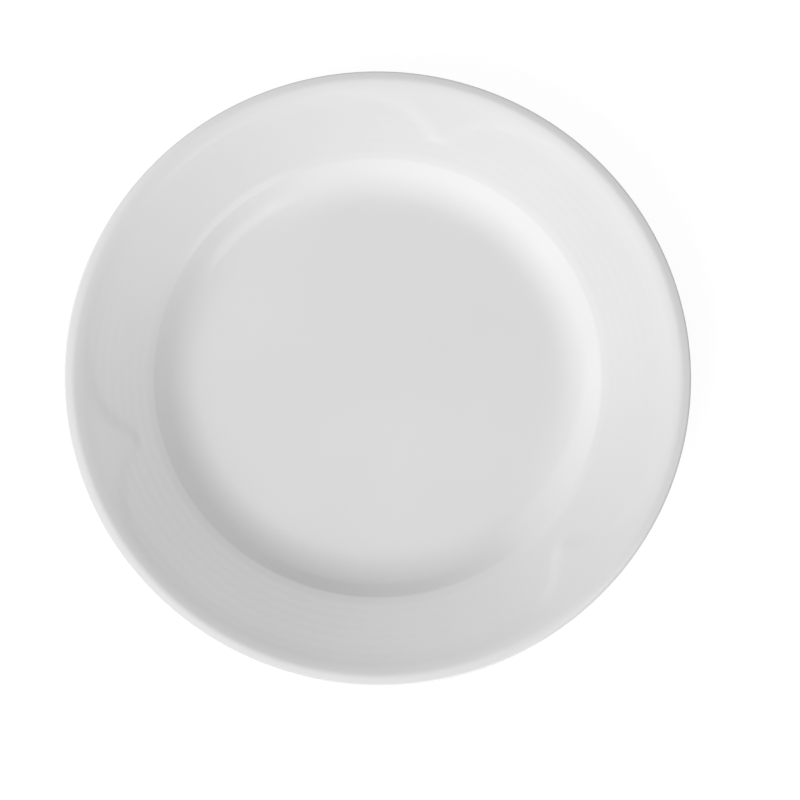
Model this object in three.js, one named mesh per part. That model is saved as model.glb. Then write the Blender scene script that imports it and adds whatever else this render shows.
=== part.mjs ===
// A flat porcelain plate: one fired body with a foot ring, and the two glaze coats fused to it.
// Millimetres, +Z up. The origin is at the middle of the plate, on the plane that it stands on.
import * as THREE from "three";

// Driving dimensions of the glazed plate, as level distances unless a comment says otherwise
const PLATE_DIAMETER = 240;
const RIM_WIDTH = 33.7; // from the crease round the well to the outer edge
const SHOULDER_WIDTH = 2.3; // steeper band of the rim next to the crease
const SHOULDER_ANGLE = 17.7; // degrees above level
const RIM_ANGLE = 14; // degrees above level
const BORDER_WIDTH = 11.4; // steeper border of the rim, up to the outer edge
const BORDER_ANGLE = 17; // degrees above level
const RIM_THICKNESS = 4.2; // square to the rim
const WALL_RUN = 10.8; // from the corner of the well floor to the crease
const WALL_ANGLE = 24.5; // degrees above level
const WALL_THICKNESS = 4.6; // square to the wall
const FLOOR_THICKNESS = 5.5;
const EASE_WIDTH = 6.2; // from where the border eases towards the crest to the outer edge
const EASE_ANGLE = 12; // degrees above level
const LIP_WIDTH = 3.6; // from the crest of the lip to the outer edge
const LIP_FALL = 7; // degrees below level, outside the crest

// Foot ring
const FOOT_INSET = 4.7; // from the corner of the well floor in to the ring's outside
const FOOT_WIDTH = 4.5; // of the standing face
const FOOT_HEIGHT = 2.5; // from the standing face to the underside outside the ring
const RECESS_DEPTH = 2.2; // from the standing face to the base inside the ring
const FOOT_DRAFT = 8; // degrees, on both sides of the ring

// Glaze
const GLAZE_THICKNESS = 0.25;
const BOND_LINE = 0.02; // seam between the glaze and the body that it is fused to
const GLAZE_LINE = 0.8; // height of the bare band round the standing face

// Rounding radii of the section, from the well out to the edge and back under to the foot
const WELL_FILLET = 31.8;
const CREASE_RADIUS = 6;
const SHOULDER_RADIUS = 55;
const BORDER_RADIUS = 130;
const EASE_RADIUS = 33;
const LIP_CROWN_RADIUS = 6;
const EDGE_RADIUS = 1;
const UNDER_CREASE_RADIUS = 12;
const UNDER_WELL_RADIUS = 8;
const FOOT_ROOT_RADIUS = 1.3;
const FOOT_EDGE_RADIUS = 0.5;

// Fineness of the solids
const SEGMENTS = 64; // round the axis
const ARC_ERROR = 0.08; // how far a chord may lie from its arc, in the section

// Finishes
const GLAZE_WHITE = 0xeceded;
const GLAZE_ROUGHNESS = 0.12;
const BISQUE_WHITE = 0xe3e0d9;
const BISQUE_ROUGHNESS = 0.75;

const tan = (degrees) => Math.tan(THREE.MathUtils.degToRad(degrees));
const cos = (degrees) => Math.cos(THREE.MathUtils.degToRad(degrees));
const point = (r, z, radius = 0) => ({ at: new THREE.Vector2(r, z), radius });

// Levels and radii that follow from the driving dimensions
const edgeR = PLATE_DIAMETER / 2;
const creaseR = edgeR - RIM_WIDTH;
const wellR = creaseR - WALL_RUN;
const shoulderR = creaseR + SHOULDER_WIDTH;
const borderR = edgeR - BORDER_WIDTH;
const easeR = edgeR - EASE_WIDTH;
const crestR = edgeR - LIP_WIDTH;
const floorZ = FOOT_HEIGHT + FLOOR_THICKNESS;
const footOuterR = wellR - FOOT_INSET;
const footInnerR = footOuterR - FOOT_WIDTH;

// Straight lines of the section: the height of the wall, the rim and their undersides at a radius
const wallTop = (r) => floorZ + (r - wellR) * tan(WALL_ANGLE);
const creaseZ = wallTop(creaseR);
const shoulderZ = creaseZ + SHOULDER_WIDTH * tan(SHOULDER_ANGLE);
const rimTop = (r) => shoulderZ + (r - shoulderR) * tan(RIM_ANGLE);
const wallUnder = (r) => wallTop(r) - WALL_THICKNESS / cos(WALL_ANGLE);
const rimUnder = (r) => rimTop(r) - RIM_THICKNESS / cos(RIM_ANGLE);
const easeZ = rimTop(borderR) + (easeR - borderR) * tan(BORDER_ANGLE);
const crestZ = easeZ + (crestR - easeR) * tan(EASE_ANGLE);

// Radius at which two lines of the section cross, for lines given as a height at the axis and a slope
function crossing(first, second) {
  const slope = (line) => line(1) - line(0);
  return (second(0) - first(0)) / (slope(first) - slope(second));
}
const underCreaseR = crossing(wallUnder, rimUnder);
const underWellR = crossing(wallUnder, () => FOOT_HEIGHT);

// Foot ring sides, which lean apart from the standing face upwards
const footOuterSide = (z) => footOuterR + z * tan(FOOT_DRAFT);
const footInnerSide = (z) => footInnerR - z * tan(FOOT_DRAFT);

// Glazed surface from the middle of the well, over the lip and back under to the bare band of the foot
const outerCorners = [
  point(0, floorZ),
  point(wellR, floorZ, WELL_FILLET),
  point(creaseR, creaseZ, CREASE_RADIUS),
  point(shoulderR, shoulderZ, SHOULDER_RADIUS),
  point(borderR, rimTop(borderR), BORDER_RADIUS),
  point(easeR, easeZ, EASE_RADIUS),
  point(crestR, crestZ, LIP_CROWN_RADIUS),
  point(edgeR, crestZ - LIP_WIDTH * tan(LIP_FALL), EDGE_RADIUS),
  point(edgeR, rimUnder(edgeR), EDGE_RADIUS),
  point(underCreaseR, rimUnder(underCreaseR), UNDER_CREASE_RADIUS),
  point(underWellR, FOOT_HEIGHT, UNDER_WELL_RADIUS),
  point(footOuterSide(FOOT_HEIGHT), FOOT_HEIGHT, FOOT_ROOT_RADIUS),
  point(footOuterSide(GLAZE_LINE), GLAZE_LINE),
];

// Glazed surface inside the foot ring, from the bare band up and in to the middle of the base
const baseCorners = [
  point(footInnerSide(GLAZE_LINE), GLAZE_LINE),
  point(footInnerSide(RECESS_DEPTH), RECESS_DEPTH, FOOT_ROOT_RADIUS),
  point(0, RECESS_DEPTH),
];

// Follows the corners and rounds each one that has a radius. Every place on the run holds its point and the
// normal of the exposed side, which lies to the left of the way along the run.
function roundedRun(corners) {
  const ways = corners.slice(1).map((c, i) => c.at.clone().sub(corners[i].at).normalize());
  const lengths = corners.slice(1).map((c, i) => c.at.distanceTo(corners[i].at));
  const turns = corners.map((c, i) => {
    const bend = i > 0 && i < ways.length;
    return bend ? Math.atan2(ways[i - 1].cross(ways[i]), ways[i - 1].dot(ways[i])) : 0;
  });
  // A rounding takes the same length from both of its legs, and shares a leg that is too short for two
  const wanted = corners.map((c, i) => c.radius * Math.tan(Math.abs(turns[i]) / 2));
  const share = lengths.map((length, i) => Math.min(1, length / (wanted[i] + wanted[i + 1] || 1)));
  const run = [];
  corners.forEach((corner, i) => {
    const way = ways[Math.min(i, ways.length - 1)];
    const before = ways[Math.max(i - 1, 0)];
    const normal = new THREE.Vector2(-before.y, before.x);
    if (!turns[i]) {
      run.push({ at: corner.at, normal: i ? normal : new THREE.Vector2(-way.y, way.x) });
      return;
    }
    const taken = wanted[i] * Math.min(share[i - 1], share[i]);
    const radius = taken / Math.tan(Math.abs(turns[i]) / 2);
    const side = Math.sign(turns[i]);
    const start = corner.at.clone().addScaledVector(before, -taken);
    const centre = start.clone().addScaledVector(normal, side * radius);
    const widestStep = 2 * Math.acos(1 - Math.min(1, ARC_ERROR / radius));
    const steps = Math.ceil(Math.abs(turns[i]) / widestStep);
    for (let k = 0; k <= steps; k++) {
      const turned = normal.clone().rotateAround(new THREE.Vector2(), (turns[i] * k) / steps);
      run.push({ at: centre.clone().addScaledVector(turned, -side * radius), normal: turned });
    }
  });
  return run;
}

// Glazed faces, the inner faces of the glaze, and the faces of the body under the glaze
const below = (run, depth) => run.map((place) => place.at.clone().addScaledVector(place.normal, -depth));
const bodyDepth = GLAZE_THICKNESS + BOND_LINE;
const exposed = (run) => below(run, 0);
const bonded = (run) => below(run, GLAZE_THICKNESS);
const covered = (run) => below(run, bodyDepth);
const outerRun = roundedRun(outerCorners);
const baseRun = roundedRun(baseCorners);

// Bare foot of the body, between the two glaze lines
const bareStart = covered(outerRun).at(-1);
const bareEnd = covered(baseRun)[0];
const bareSideOffset = bodyDepth / cos(FOOT_DRAFT);
const footRun = roundedRun([
  point(bareStart.x, bareStart.y),
  point(footOuterSide(0) - bareSideOffset, 0, FOOT_EDGE_RADIUS),
  point(footInnerSide(0) + bareSideOffset, 0, FOOT_EDGE_RADIUS),
  point(bareEnd.x, bareEnd.y),
]);

// Turns a closed section about the axis. The section runs with its material on the right.
function turned(name, section, material) {
  const geometry = new THREE.LatheGeometry(section.toReversed(), SEGMENTS);
  geometry.rotateX(Math.PI / 2);
  const mesh = new THREE.Mesh(geometry, material);
  mesh.name = name;
  return mesh;
}

const ceramic = (color, roughness) => new THREE.MeshStandardMaterial({ color, roughness, metalness: 0 });

const bareFoot = exposed(footRun).slice(1, -1);
const bodySection = [...covered(outerRun), ...bareFoot, ...covered(baseRun)];
const outerGlazeSection = [...exposed(outerRun), ...bonded(outerRun).toReversed()];
const baseGlazeSection = [...bonded(baseRun).toReversed(), ...exposed(baseRun)];

const plate = new THREE.Group();
plate.add(turned("porcelain_body", bodySection, ceramic(BISQUE_WHITE, BISQUE_ROUGHNESS)));
plate.add(turned("outer_glaze", outerGlazeSection, ceramic(GLAZE_WHITE, GLAZE_ROUGHNESS)));
plate.add(turned("base_glaze", baseGlazeSection, ceramic(GLAZE_WHITE, GLAZE_ROUGHNESS)));

export default plate;
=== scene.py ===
"""A white porcelain plate: a fired body, a glossy coat with low relief on the rim, and a bare standing ring.

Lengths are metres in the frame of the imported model: +Z up, the origin under the middle of the plate.
"""
import math

import bpy
import numpy as np
from mathutils import Matrix, Quaternion, Vector


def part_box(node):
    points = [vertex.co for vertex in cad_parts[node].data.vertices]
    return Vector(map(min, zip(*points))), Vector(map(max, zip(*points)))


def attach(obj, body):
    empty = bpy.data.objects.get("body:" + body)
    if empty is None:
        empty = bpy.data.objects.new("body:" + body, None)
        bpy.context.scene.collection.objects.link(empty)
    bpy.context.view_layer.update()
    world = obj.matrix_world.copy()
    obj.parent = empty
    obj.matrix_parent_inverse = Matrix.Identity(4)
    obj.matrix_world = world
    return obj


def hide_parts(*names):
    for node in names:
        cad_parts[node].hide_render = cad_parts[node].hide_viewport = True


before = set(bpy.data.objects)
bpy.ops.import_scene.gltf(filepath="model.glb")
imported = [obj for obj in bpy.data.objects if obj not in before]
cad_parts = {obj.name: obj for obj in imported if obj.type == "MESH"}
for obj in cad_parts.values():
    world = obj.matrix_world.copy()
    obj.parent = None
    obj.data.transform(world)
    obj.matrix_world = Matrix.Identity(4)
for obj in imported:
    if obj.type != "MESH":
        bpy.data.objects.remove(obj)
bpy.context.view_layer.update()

MM = 0.001

# Section of the plate, as level distances unless a comment says otherwise
EDGE_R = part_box("outer_glaze")[1].x
RIM_WIDTH = 33.7 * MM  # from the crease round the well to the outer edge
SHOULDER_WIDTH = 2.3 * MM  # steeper band of the rim next to the crease
SHOULDER_ANGLE = math.radians(17.7)
RIM_ANGLE = math.radians(14)
BORDER_WIDTH = 11.4 * MM  # steeper border of the rim, up to the outer edge
BORDER_ANGLE = math.radians(17)
RIM_THICKNESS = 4.2 * MM  # square to the rim
WALL_RUN = 10.8 * MM  # from the corner of the well floor to the crease
WALL_ANGLE = math.radians(24.5)
WALL_THICKNESS = 4.6 * MM  # square to the wall
FLOOR_THICKNESS = 5.5 * MM
EASE_WIDTH = 6.2 * MM  # from where the border eases towards the crest to the outer edge
EASE_ANGLE = math.radians(12)
LIP_WIDTH = 3.6 * MM  # from the crest of the lip to the outer edge
LIP_FALL = math.radians(7)  # below level, outside the crest
FOOT_INSET = 4.7 * MM  # from the corner of the well floor in to the foot ring's outside
FOOT_WIDTH = 4.5 * MM  # of the standing face
FOOT_HEIGHT = 2.5 * MM  # from the standing face to the underside outside the ring
RECESS_DEPTH = 2.2 * MM  # from the standing face to the base inside the ring
FOOT_DRAFT = math.radians(8)  # on both sides of the ring
GLAZE_THICKNESS = 0.25 * MM
GLAZE_LINE = 0.8 * MM  # height of the bare band round the standing face

# Rounding radii of the section
WELL_FILLET = 31.8 * MM
CREASE_RADIUS = 6 * MM
SHOULDER_RADIUS = 55 * MM
BORDER_RADIUS = 130 * MM
EASE_RADIUS = 33 * MM
LIP_CROWN_RADIUS = 6 * MM
EDGE_RADIUS = 1 * MM
UNDER_CREASE_RADIUS = 12 * MM
UNDER_WELL_RADIUS = 8 * MM
FOOT_ROOT_RADIUS = 1.3 * MM
FOOT_EDGE_RADIUS = 0.5 * MM

# Radii and heights that follow from the section
CREASE_R = EDGE_R - RIM_WIDTH
WELL_R = CREASE_R - WALL_RUN
SHOULDER_R = CREASE_R + SHOULDER_WIDTH
BORDER_R = EDGE_R - BORDER_WIDTH
EASE_R = EDGE_R - EASE_WIDTH
CREST_R = EDGE_R - LIP_WIDTH
FLOOR_Z = FOOT_HEIGHT + FLOOR_THICKNESS
CREASE_Z = FLOOR_Z + WALL_RUN * math.tan(WALL_ANGLE)
SHOULDER_Z = CREASE_Z + SHOULDER_WIDTH * math.tan(SHOULDER_ANGLE)
BORDER_Z = SHOULDER_Z + (BORDER_R - SHOULDER_R) * math.tan(RIM_ANGLE)
EASE_Z = BORDER_Z + (EASE_R - BORDER_R) * math.tan(BORDER_ANGLE)
CREST_Z = EASE_Z + (CREST_R - EASE_R) * math.tan(EASE_ANGLE)

# Low relief on the rim: fine rings in three sunk panels, parted by smooth darts that flare into the border
RING_COUNT = 7
RING_PITCH = 3.38 * MM
FIRST_RING_R = 89.2 * MM
RING_HEIGHT = 0.017 * MM  # from trough to crest
DART_COUNT = 3
FIRST_DART = math.radians(75.8)  # round from +X
DART_TIP_R = 94.2 * MM
DART_ROOT_R = 114 * MM  # where a dart reaches its full width
DART_HALF_WIDTH = math.radians(23)  # at the root
DART_FLARE = 5  # power of the curve on which the sides flare
DART_RISE = 0.16  # share of the way from tip to root on which the tip rises
DART_HEIGHT = 0.26 * MM
DART_EDGE = 6.5 * MM  # width of the soft step at the sides
DART_CREST_R = 105 * MM  # where a dart starts to sink into the border
DART_END_R = 116 * MM  # where it has sunk

# Fineness of the meshes: steps round the axis, along the section and on its arcs
TURNS = 432
TURN_ANGLES = np.arange(TURNS) * 2 * math.pi / TURNS
RIM_STEP = 0.36 * MM
PLAIN_STEP = 6 * MM
FOOT_STEP = 0.5 * MM
HIDDEN_STEP = 30 * MM
ARC_STEP = math.radians(6)
HIDDEN_ARC_STEP = math.radians(10)
SHARP_ANGLE = math.radians(35)  # edges that bend more than this are shaded as edges
AXIS_R = 1e-9  # a place of the section inside this radius is on the axis

# Finishes: the scale of a noise is about the count of its waves to a metre
NOISE_LOW = 0.3  # most of a noise lies between these two levels
NOISE_HIGH = 0.7
CERAMIC_IOR = 1.5
GLAZE_SHADES = ((0.80, 0.80, 0.80), (0.82, 0.82, 0.82))
GLAZE_CLOUDS = {"scale": 18, "detail": 2}
GLAZE_ROUGHNESS = {"scale": 45, "detail": 3, "low": 0.10, "high": 0.16}
GLAZE_WAVES = {"scale": 260, "detail": 2}
GLAZE_BUMP = {"strength": 0.02, "distance": 0.2 * MM}
BISQUE_SHADES = ((0.70, 0.68, 0.64), (0.79, 0.77, 0.73))
BISQUE_GRAIN = {"scale": 900, "detail": 4}
BISQUE_ROUGHNESS = {"scale": 300, "detail": 3, "low": 0.62, "high": 0.85}
BISQUE_BUMP = {"strength": 0.25, "distance": 0.1 * MM}

# Softboxes and a grey card: sizes in metres, and places that the function hang explains
SOFTBOXES = {
    "key": {"round": 230, "down": 64, "turn": 0, "distance": 4, "size": (2.9, 2.9), "watts": 170},
    "strip": {"round": -29.5, "down": 23.3, "turn": -17, "distance": 4, "size": (1.1, 0.88), "watts": 4.1},
    "side": {"round": 152, "down": 47, "turn": -24, "distance": 2, "size": (1.9, 0.82), "watts": 3.9},
    "back": {"round": 33, "down": 52, "turn": -15, "distance": 3, "size": (1.7, 0.63), "watts": 2.4},
}
GREY_CARD = {"round": 85, "down": 56, "turn": 0, "distance": 2.5, "size": (2.4, 0.66)}
GREY_CARD_ALBEDO = 0.15

# World and floor: the light that they give, and how they look where they are seen directly
WORLD_LEVEL = 0.353
WORLD_SEEN_LEVEL = 1
FLOOR_SIZE = 6
FLOOR_ALBEDO = 0.92
FLOOR_SEEN_GLOW = 0.9
FLOOR_SEEN_ALBEDO = 0.2

# Camera, as the photograph sees the plate
CAMERA_CENTRE = Vector((0, 0, 12 * MM))  # the point that the distance and the elevation start from
CAMERA_ELEVATION = math.radians(78.61)
CAMERA_DISTANCE = 0.8
CAMERA_AIM = Vector((8.54 * MM, -9.74 * MM, 10 * MM))  # the point in the middle of the picture
CAMERA_LENS_MM = 93.17
CAMERA_SENSOR_MM = 36


def corner(r, z, radius=0.0, step=PLAIN_STEP):
    """A corner of the section, its rounding radius, and the longest step on the leg that follows it."""
    return {"at": np.array((r, z)), "radius": radius, "step": step}


def foot_outside(z):
    """Radius of the foot ring's outer side at a height."""
    return WELL_R - FOOT_INSET + z * math.tan(FOOT_DRAFT)


def foot_inside(z):
    """Radius of the foot ring's inner side at a height."""
    return foot_outside(0) - FOOT_WIDTH - z * math.tan(FOOT_DRAFT)


def outside_corners(rim_step, plain_step):
    """Corners of the glazed outside, from the middle of the well over the lip and under to the foot ring."""
    # The undersides of wall and rim are lines: each a slope, and a height at the axis
    wall_slope = math.tan(WALL_ANGLE)
    rim_slope = math.tan(RIM_ANGLE)
    under_edge_z = BORDER_Z + BORDER_WIDTH * rim_slope - RIM_THICKNESS / math.cos(RIM_ANGLE)
    wall_foot = FLOOR_Z - WELL_R * wall_slope - WALL_THICKNESS / math.cos(WALL_ANGLE)
    rim_foot = under_edge_z - EDGE_R * rim_slope
    under_crease_r = (rim_foot - wall_foot) / (wall_slope - rim_slope)
    under_crease_z = wall_foot + under_crease_r * wall_slope
    under_well_r = (FOOT_HEIGHT - wall_foot) / wall_slope
    return [
        corner(0, FLOOR_Z, 0, plain_step),
        corner(WELL_R, FLOOR_Z, WELL_FILLET, plain_step),
        corner(CREASE_R, CREASE_Z, CREASE_RADIUS, rim_step),
        corner(SHOULDER_R, SHOULDER_Z, SHOULDER_RADIUS, rim_step),
        corner(BORDER_R, BORDER_Z, BORDER_RADIUS, rim_step),
        corner(EASE_R, EASE_Z, EASE_RADIUS, rim_step),
        corner(CREST_R, CREST_Z, LIP_CROWN_RADIUS, plain_step),
        corner(EDGE_R, CREST_Z - LIP_WIDTH * math.tan(LIP_FALL), EDGE_RADIUS, plain_step),
        corner(EDGE_R, under_edge_z, EDGE_RADIUS, plain_step),
        corner(under_crease_r, under_crease_z, UNDER_CREASE_RADIUS, plain_step),
        corner(under_well_r, FOOT_HEIGHT, UNDER_WELL_RADIUS, plain_step),
        corner(foot_outside(FOOT_HEIGHT), FOOT_HEIGHT, FOOT_ROOT_RADIUS, plain_step),
        corner(foot_outside(GLAZE_LINE), GLAZE_LINE),
    ]


def base_corners(step):
    """Corners of the glazed base, from the foot ring's bare band up and in to the middle."""
    return [
        corner(foot_inside(GLAZE_LINE), GLAZE_LINE, 0, step),
        corner(foot_inside(RECESS_DEPTH), RECESS_DEPTH, FOOT_ROOT_RADIUS, step),
        corner(0, RECESS_DEPTH),
    ]


def left_of(way):
    """A way of the section, turned square to the left."""
    return np.array((-way[1], way[0]))


def turned_left(way, angle):
    """A way of the section, turned to the left by an angle."""
    cos = math.cos(angle)
    sin = math.sin(angle)
    return np.array((way[0] * cos - way[1] * sin, way[0] * sin + way[1] * cos))


def rounded_run(corners, arc_step=ARC_STEP):
    """Points of a run with rounded corners, and normals of its exposed side, which is on the left."""
    ways = []
    for first, second in zip(corners, corners[1:]):
        leg = second["at"] - first["at"]
        ways.append(leg / np.linalg.norm(leg))
    points = []
    normals = []
    for i, here in enumerate(corners):
        radius = here["radius"]
        leg_step = corners[max(i - 1, 0)]["step"]
        before = ways[max(i - 1, 0)]
        after = ways[min(i, len(ways) - 1)]
        turn = math.atan2(before[0] * after[1] - before[1] * after[0], float(before @ after))
        taken = radius * math.tan(abs(turn) / 2)
        start = here["at"] - before * taken
        # Places on the straight leg before the corner
        if points:
            leg = start - points[-1]
            count = max(1, math.ceil(np.linalg.norm(leg) / leg_step))
            for _ in range(1, count):
                points.append(points[-1] + leg / count)
                normals.append(left_of(before))
        # Places on the arc round the corner, or the corner itself where it is sharp
        steps = 0
        if radius:
            longest = min(here["step"], leg_step)
            steps = math.ceil(max(abs(turn) / arc_step, abs(turn) * radius / longest))
        side = math.copysign(1, turn)
        centre = start + left_of(before) * side * radius
        for k in range(steps + 1):
            way = turned_left(before, turn * k / max(steps, 1))
            points.append(centre - left_of(way) * side * radius)
            normals.append(left_of(way))
    return np.array(points), np.array(normals)


def bonded_run(corners, arc_step=ARC_STEP):
    """Points where the glaze over a run meets the body."""
    points, normals = rounded_run(corners, arc_step)
    return points - normals * GLAZE_THICKNESS


def ease(low, high, value):
    """Smooth step from 0 at low to 1 at high."""
    t = np.clip((value - low) / (high - low), 0, 1)
    return t * t * (3 - 2 * t)


def dart_land(r, angle):
    """1 on a dart and 0 between the darts, with soft steps at the sides and tips."""
    length = DART_ROOT_R - DART_TIP_R
    along = np.clip((r - DART_TIP_R) / length, 0, 1)
    half_width = DART_HALF_WIDTH * (along + along**DART_FLARE) / 2
    widening = DART_HALF_WIDTH * (1 + DART_FLARE * along ** (DART_FLARE - 1)) / 2
    pitch = 2 * math.pi / DART_COUNT
    offset = np.abs((angle - FIRST_DART + pitch / 2) % pitch - pitch / 2)
    # A flaring side runs aslant, so the way round to it is longer than the way square to it
    aslant = widening * r / length
    inside = (half_width - offset) * r / np.sqrt(1 + aslant**2)
    return ease(-DART_EDGE / 2, DART_EDGE / 2, inside) * ease(0, DART_RISE, along)


def ring_waves(r):
    """Height of the fine rings, which fade out at both ends of their band."""
    last_ring_r = FIRST_RING_R + (RING_COUNT - 1) * RING_PITCH
    banded = ease(FIRST_RING_R - RING_PITCH, FIRST_RING_R, r)
    banded = banded * ease(last_ring_r + RING_PITCH, last_ring_r, r)
    waves = np.cos((r - FIRST_RING_R) / RING_PITCH * 2 * math.pi) * RING_HEIGHT / 2
    return waves * banded


def rim_relief(r, angle):
    """Height of the relief over the plain rim, at radii and angles that broadcast together."""
    land = dart_land(r, angle)
    crown = DART_HEIGHT * ease(DART_END_R, DART_CREST_R, r)
    return crown * land + ring_waves(r) * (1 - land)


def turned_mesh(name, section, relief=0.0):
    """A closed mesh of a section turned about the axis, which it starts and ends on.

    The section runs with its material on the right. The relief is how far each of its places moves out
    and up at each angle.
    """
    places = np.broadcast_to(section[:, None, :] + relief, (len(section), TURNS, 2))
    points = []
    rings = []
    for place in places:
        r = place[:, 0]
        z = place[:, 1]
        on_axis = r[0] < AXIS_R
        rings.append((len(points), 1 if on_axis else TURNS))
        if on_axis:
            points.append((0, 0, z[0]))
        else:
            points.extend(np.c_[r * np.cos(TURN_ANGLES), r * np.sin(TURN_ANGLES), z].tolist())
    faces = []
    for (first, first_count), (second, second_count) in zip(rings, rings[1:]):
        for k in range(TURNS):
            after = (k + 1) % TURNS
            if first_count == 1:
                faces.append((first, second + k, second + after))
            elif second_count == 1:
                faces.append((first + k, second, first + after))
            else:
                faces.append((first + k, second + k, second + after, first + after))
    mesh = bpy.data.meshes.new(name)
    mesh.from_pydata(points, [], faces)
    mesh.validate()
    mesh.shade_smooth()
    mesh.set_sharp_from_angle(angle=SHARP_ANGLE)
    made = bpy.data.objects.new(name, mesh)
    bpy.context.scene.collection.objects.link(made)
    return made


def dress(piece, node, material):
    """Puts a piece in a node's place."""
    piece.data.materials.append(material)
    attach(piece, "root")
    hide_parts(node)


def make_outer_coat(material):
    """The glaze over the well, rim, lip and underside, with the relief on its upper side."""
    points, normals = rounded_run(outside_corners(RIM_STEP, PLAIN_STEP))
    bonded = bonded_run(outside_corners(HIDDEN_STEP, HIDDEN_STEP), HIDDEN_ARC_STEP)[::-1]
    on_top = normals[:, 1:] > 0
    lift = np.where(on_top, rim_relief(points[:, :1], TURN_ANGLES), 0)
    relief = normals[:, None, :] * lift[:, :, None]
    plain = np.zeros((len(bonded), TURNS, 2))
    coat = turned_mesh("outer_coat", np.vstack([points, bonded]), np.concatenate([relief, plain]))
    dress(coat, "outer_glaze", material)


def make_base_coat(material):
    """The glaze of the recess inside the foot ring."""
    points, _ = rounded_run(base_corners(PLAIN_STEP))
    bonded = bonded_run(base_corners(PLAIN_STEP))[::-1]
    coat = turned_mesh("base_coat", np.vstack([bonded, points]))
    dress(coat, "base_glaze", material)


def make_body(material):
    """The fired body under the glaze, with the bare foot between the two glaze lines."""
    outer = bonded_run(outside_corners(HIDDEN_STEP, HIDDEN_STEP), HIDDEN_ARC_STEP)
    base = bonded_run(base_corners(HIDDEN_STEP), HIDDEN_ARC_STEP)
    inset = GLAZE_THICKNESS / math.cos(FOOT_DRAFT)
    foot, _ = rounded_run([
        corner(*outer[-1]),
        corner(foot_outside(0) - inset, 0, FOOT_EDGE_RADIUS, FOOT_STEP),
        corner(foot_inside(0) + inset, 0, FOOT_EDGE_RADIUS),
        corner(*base[0]),
    ])
    body = turned_mesh("fired_body", np.vstack([outer, foot[1:-1], base]))
    dress(body, "porcelain_body", material)


def ceramic_material(name):
    """A new material with the shader of a ceramic."""
    material = bpy.data.materials.new(name)
    material.use_nodes = True
    nodes = material.node_tree.nodes
    shader = nodes["Principled BSDF"]
    shader.inputs["IOR"].default_value = CERAMIC_IOR
    return material, nodes, material.node_tree.links, shader


def noise_range(nodes, links, scale, detail, low=0, high=1):
    """A noise over the object's own coordinates, mapped to a range."""
    place = nodes.new("ShaderNodeTexCoord")
    noise = nodes.new("ShaderNodeTexNoise")
    noise.inputs["Scale"].default_value = scale
    noise.inputs["Detail"].default_value = detail
    links.new(place.outputs["Object"], noise.inputs["Vector"])
    mapped = nodes.new("ShaderNodeMapRange")
    mapped.inputs["From Min"].default_value = NOISE_LOW
    mapped.inputs["From Max"].default_value = NOISE_HIGH
    mapped.inputs["To Min"].default_value = low
    mapped.inputs["To Max"].default_value = high
    links.new(noise.outputs["Fac"], mapped.inputs["Value"])
    return mapped.outputs["Result"]


def mixed_colour(nodes, links, share, first, second):
    """A colour between two shades."""
    mix = nodes.new("ShaderNodeMix")
    mix.data_type = "RGBA"
    mix.inputs["A"].default_value = (*first, 1)
    mix.inputs["B"].default_value = (*second, 1)
    links.new(share, mix.inputs["Factor"])
    return mix.outputs["Result"]


def add_bump(nodes, links, shader, height, strength, distance):
    """Lets a height from 0 to 1 tilt the normals of a shader."""
    bump = nodes.new("ShaderNodeBump")
    bump.inputs["Strength"].default_value = strength
    bump.inputs["Distance"].default_value = distance
    links.new(height, bump.inputs["Height"])
    links.new(bump.outputs["Normal"], shader.inputs["Normal"])


def glaze_material():
    """A glossy white glaze with faint clouds, uneven gloss and slight waves."""
    material, nodes, links, shader = ceramic_material("glossy_glaze")
    clouds = noise_range(nodes, links, **GLAZE_CLOUDS)
    links.new(mixed_colour(nodes, links, clouds, *GLAZE_SHADES), shader.inputs["Base Color"])
    links.new(noise_range(nodes, links, **GLAZE_ROUGHNESS), shader.inputs["Roughness"])
    waves = noise_range(nodes, links, **GLAZE_WAVES)
    add_bump(nodes, links, shader, waves, **GLAZE_BUMP)
    return material


def bisque_material():
    """Bare fired porcelain, matte and finely grained."""
    material, nodes, links, shader = ceramic_material("bare_porcelain")
    grain = noise_range(nodes, links, **BISQUE_GRAIN)
    links.new(mixed_colour(nodes, links, grain, *BISQUE_SHADES), shader.inputs["Base Color"])
    links.new(noise_range(nodes, links, **BISQUE_ROUGHNESS), shader.inputs["Roughness"])
    add_bump(nodes, links, shader, grain, **BISQUE_BUMP)
    return material


def hang(name, data, place):
    """Hangs a lamp or a card over the plate, turned to face it.

    The place is a distance in metres and three angles in degrees: round the plate from +X, down from
    overhead, and a turn about the line to the plate.
    """
    seat = bpy.data.objects.new(name, data)
    level = math.sin(math.radians(place["down"]))
    away = Vector((
        level * math.cos(math.radians(place["round"])),
        level * math.sin(math.radians(place["round"])),
        math.cos(math.radians(place["down"])),
    ))
    seat.location = away * place["distance"]
    facing = (-away).to_track_quat("-Z", "Y")
    turned = Quaternion((0, 0, 1), math.radians(place["turn"]))
    seat.rotation_euler = (facing @ turned).to_euler()
    bpy.context.scene.collection.objects.link(seat)
    return seat


def add_softbox(name, box):
    """A rectangular lamp with a size in metres and a power in watts."""
    lamp = bpy.data.lights.new(name, "AREA")
    lamp.shape = "RECTANGLE"
    lamp.size, lamp.size_y = box["size"]
    lamp.energy = box["watts"]
    hang(name, lamp, box)


def flat_sheet(name, width, height):
    """A level rectangle with its middle at the origin."""
    half_x = width / 2
    half_y = height / 2
    sheet = bpy.data.meshes.new(name)
    points = [(-half_x, -half_y, 0), (half_x, -half_y, 0), (half_x, half_y, 0), (-half_x, half_y, 0)]
    sheet.from_pydata(points, [], [(0, 1, 2, 3)])
    return sheet


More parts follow.
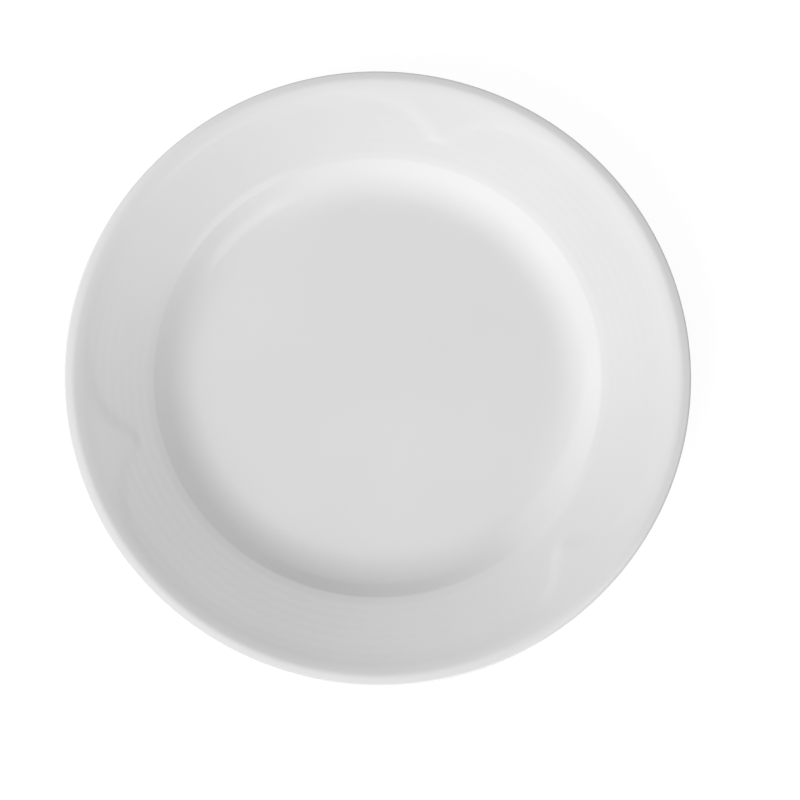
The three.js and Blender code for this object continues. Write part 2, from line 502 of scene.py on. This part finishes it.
def bare_material(name):
    """A material for the stage, with nothing but its output."""
    material = bpy.data.materials.new(name)
    material.use_nodes = True
    nodes = material.node_tree.nodes
    nodes.clear()
    return material, nodes, material.node_tree.links, nodes.new("ShaderNodeOutputMaterial")


def plain_diffuse(nodes, albedo):
    """A matte grey."""
    shader = nodes.new("ShaderNodeBsdfDiffuse")
    shader.inputs["Color"].default_value = (albedo, albedo, albedo, 1)
    return shader.outputs["BSDF"]


def make_grey_card():
    """A grey card beyond the plate, which the glossy wall of the well mirrors as a darker band."""
    sheet = flat_sheet("grey_card", *GREY_CARD["size"])
    material, nodes, links, out = bare_material("card_grey")
    links.new(plain_diffuse(nodes, GREY_CARD_ALBEDO), out.inputs["Surface"])
    sheet.materials.append(material)
    hang("grey_card", sheet, GREY_CARD)


def seen_directly(nodes, links):
    """1 for rays that show the background: from the camera, mirrored or let through."""
    path = nodes.new("ShaderNodeLightPath")
    most = path.outputs["Is Camera Ray"]
    for other in ("Is Glossy Ray", "Is Transmission Ray"):
        larger = nodes.new("ShaderNodeMath")
        larger.operation = "MAXIMUM"
        links.new(most, larger.inputs[0])
        links.new(path.outputs[other], larger.inputs[1])
        most = larger.outputs["Value"]
    return most


def make_world():
    """A white world, which lights the plate less than it shows."""
    world = bpy.data.worlds.new("studio")
    bpy.context.scene.world = world
    world.use_nodes = True
    nodes = world.node_tree.nodes
    links = world.node_tree.links
    level = nodes.new("ShaderNodeMapRange")
    level.inputs["To Min"].default_value = WORLD_LEVEL
    level.inputs["To Max"].default_value = WORLD_SEEN_LEVEL
    links.new(seen_directly(nodes, links), level.inputs["Value"])
    links.new(level.outputs["Result"], nodes["Background"].inputs["Strength"])
    nodes["Background"].inputs["Color"].default_value = (1, 1, 1, 1)


def make_floor():
    """A white floor. What looks at it directly sees it near white, and it keeps a faint shadow."""
    sheet = flat_sheet("floor", FLOOR_SIZE, FLOOR_SIZE)
    floor = bpy.data.objects.new("floor", sheet)
    bpy.context.scene.collection.objects.link(floor)
    material, nodes, links, out = bare_material("white_floor")
    glow = nodes.new("ShaderNodeEmission")
    glow.inputs["Strength"].default_value = FLOOR_SEEN_GLOW
    both = nodes.new("ShaderNodeAddShader")
    choose = nodes.new("ShaderNodeMixShader")
    links.new(plain_diffuse(nodes, FLOOR_SEEN_ALBEDO), both.inputs[0])
    links.new(glow.outputs["Emission"], both.inputs[1])
    links.new(seen_directly(nodes, links), choose.inputs["Fac"])
    links.new(plain_diffuse(nodes, FLOOR_ALBEDO), choose.inputs[1])
    links.new(both.outputs["Shader"], choose.inputs[2])
    links.new(choose.outputs["Shader"], out.inputs["Surface"])
    sheet.materials.append(material)


def make_camera():
    """The camera, over the plate and a little to its front, with the picture's upper side towards +Y."""
    camera = bpy.data.cameras.new("camera")
    camera.sensor_width = CAMERA_SENSOR_MM
    camera.lens = CAMERA_LENS_MM
    seat = bpy.data.objects.new("camera", camera)
    away = Vector((0, -math.cos(CAMERA_ELEVATION), math.sin(CAMERA_ELEVATION)))
    seat.location = CAMERA_CENTRE + away * CAMERA_DISTANCE
    ahead = (CAMERA_AIM - seat.location).normalized()
    right = ahead.cross(Vector((0, 1, 0))).normalized()
    up = right.cross(ahead)
    seat.rotation_euler = Matrix((right, up, -ahead)).transposed().to_euler()
    bpy.context.scene.collection.objects.link(seat)
    bpy.context.scene.camera = seat


make_camera()
glaze = glaze_material()
bisque = bisque_material()
make_outer_coat(glaze)
make_base_coat(glaze)
make_body(bisque)
make_world()
make_floor()
make_grey_card()
for name, box in SOFTBOXES.items():
    add_softbox(name, box)
bpy.context.scene.view_settings.view_transform = "Standard"
